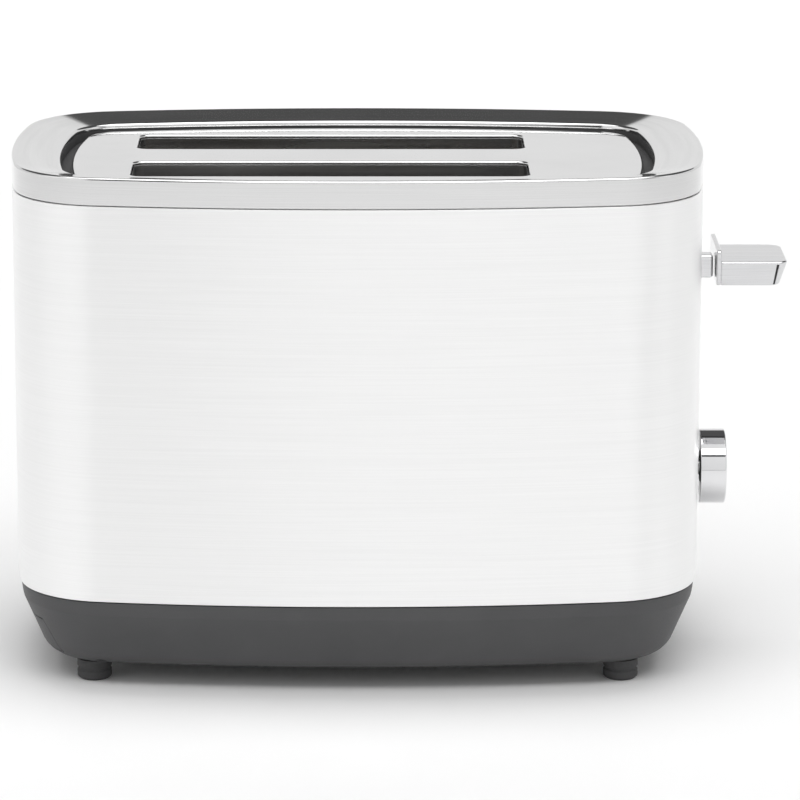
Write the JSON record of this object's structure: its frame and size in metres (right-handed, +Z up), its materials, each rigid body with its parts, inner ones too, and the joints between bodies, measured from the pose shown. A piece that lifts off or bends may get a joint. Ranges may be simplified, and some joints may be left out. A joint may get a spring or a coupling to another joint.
{
  "type": "pop up toaster",
  "caption": "Two-slot pop-up toaster with a bowed rectangular body, tapered base, steel trim ring, lever and browning dial at one end.",
  "frame": {"origin": "centre of the whole toaster, lever included, on the surface that its feet stand on", "axes": "+X towards the end with the lever and dial, +Z up, the front long side faces -Y"},
  "size_m": [0.2922, 0.157, 0.1958],
  "materials": {
    "white_steel": "satin white over fine horizontal brushing",
    "trim_steel": "fine brushed",
    "polished_steel": "polished",
    "chrome": "polished",
    "base_plastic": "moulded matte dark grey",
    "foot_rubber": "matte",
    "galvanised": "galvanised sheet",
    "steel_wire": "drawn wire",
    "mica": "layered mica sheet",
    "black_plastic": "moulded",
    "circuit_board": "solder resist",
    "copper": "enamelled copper winding"
  },
  "bodies": {
    "housing": {"body_shell": "white_steel", "trim_ring": "trim_steel", "top_plate": "polished_steel", "base_moulding": "base_plastic", "cord_gland": "black_plastic", "lever_slot_guide": "black_plastic", "dial_bush": "black_plastic", "dial_control": "black_plastic", "mains_switch": "black_plastic", "foot_front_left": "foot_rubber", "foot_rear_left": "foot_rubber", "foot_front_right": "foot_rubber", "foot_rear_right": "foot_rubber", "base_screw_front_left": "steel_wire", "base_screw_rear_left": "steel_wire", "base_screw_front_right": "steel_wire", "base_screw_rear_right": "steel_wire", "chamber_end_left": "galvanised", "chamber_end_right": "galvanised", "reflector_front": "galvanised", "reflector_rear": "galvanised", "rod_bracket_lower": "galvanised", "rod_bracket_upper": "galvanised", "heater_front_outer": "mica", "heater_front_inner": "mica", "heater_rear_inner": "mica", "heater_rear_outer": "mica", "guide_rod": "steel_wire", "lift_spring": "steel_wire", "magnet_core": "steel_wire", "control_board": "circuit_board", "button_board": "circuit_board", "magnet_coil": "copper"},
    "carriage": {"bread_rack_front": "galvanised", "bread_rack_rear": "galvanised", "carriage_bracket": "galvanised", "latch_plate": "steel_wire", "lever_arm": "chrome", "lever_handle": "chrome"},
    "dial": {"browning_knob": "chrome", "dial_shaft": "steel_wire"},
    "cancel": {"cancel_button": "chrome"},
    "reheat": {"reheat_button": "chrome"},
    "defrost": {"defrost_button": "chrome"},
    "tray": {"crumb_tray": "galvanised", "crumb_tray_grip": "base_plastic"},
    "guide_front_outer": {"bread_guide_front_outer": "steel_wire"},
    "guide_front_inner": {"bread_guide_front_inner": "steel_wire"},
    "guide_rear_inner": {"bread_guide_rear_inner": "steel_wire"},
    "guide_rear_outer": {"bread_guide_rear_outer": "steel_wire"}
  },
  "joints": [
    {"name": "carriage_lift", "type": "slide", "parent": "housing", "child": "carriage", "axis": [0, 0, 1], "range_m": [-0.055, 0], "stiffness_N_per_m": 80, "springref_m": 0.05, "deforming": ["lift_spring"]},
    {"name": "dial_turn", "type": "hinge", "parent": "housing", "child": "dial", "pos_m": [0.1188, 0, 0.07], "axis": [1, 0, 0], "range_deg": [-135, 135]},
    {"name": "cancel_press", "type": "slide", "parent": "housing", "child": "cancel", "axis": [-1, 0, 0], "range_m": [0, 0.0015], "stiffness_N_per_m": 300, "springref_m": -0.001},
    {"name": "reheat_press", "type": "slide", "parent": "housing", "child": "reheat", "axis": [-1, 0, 0], "range_m": [0, 0.0015], "stiffness_N_per_m": 300, "springref_m": -0.001},
    {"name": "defrost_press", "type": "slide", "parent": "housing", "child": "defrost", "axis": [-1, 0, 0], "range_m": [0, 0.0015], "stiffness_N_per_m": 300, "springref_m": -0.001},
    {"name": "crumb_tray_slide", "type": "slide", "parent": "housing", "child": "tray", "axis": [-1, 0, 0], "range_m": [0, 0.19]},
    {"name": "guide_front_outer_swing", "type": "hinge", "parent": "housing", "child": "guide_front_outer", "pos_m": [-0.0162, -0.0414, 0.054], "axis": [1, 0, 0], "range_deg": [-4.5, 0]},
    {"name": "guide_front_inner_swing", "type": "hinge", "parent": "housing", "child": "guide_front_inner", "pos_m": [-0.0162, -0.015, 0.054], "axis": [1, 0, 0], "range_deg": [0, 4.5]},
    {"name": "guide_rear_inner_swing", "type": "hinge", "parent": "housing", "child": "guide_rear_inner", "pos_m": [-0.0162, 0.015, 0.054], "axis": [1, 0, 0], "range_deg": [-4.5, 0]},
    {"name": "guide_rear_outer_swing", "type": "hinge", "parent": "housing", "child": "guide_rear_outer", "pos_m": [-0.0162, 0.0414, 0.054], "axis": [1, 0, 0], "range_deg": [0, 4.5]}
  ],
  "couplings": [
    {"joint": "guide_front_outer_swing", "follows": "carriage_lift", "rad_per_m": 1.42},
    {"joint": "guide_front_inner_swing", "follows": "carriage_lift", "rad_per_m": -1.42},
    {"joint": "guide_rear_inner_swing", "follows": "carriage_lift", "rad_per_m": 1.42},
    {"joint": "guide_rear_outer_swing", "follows": "carriage_lift", "rad_per_m": -1.42}
  ]
}
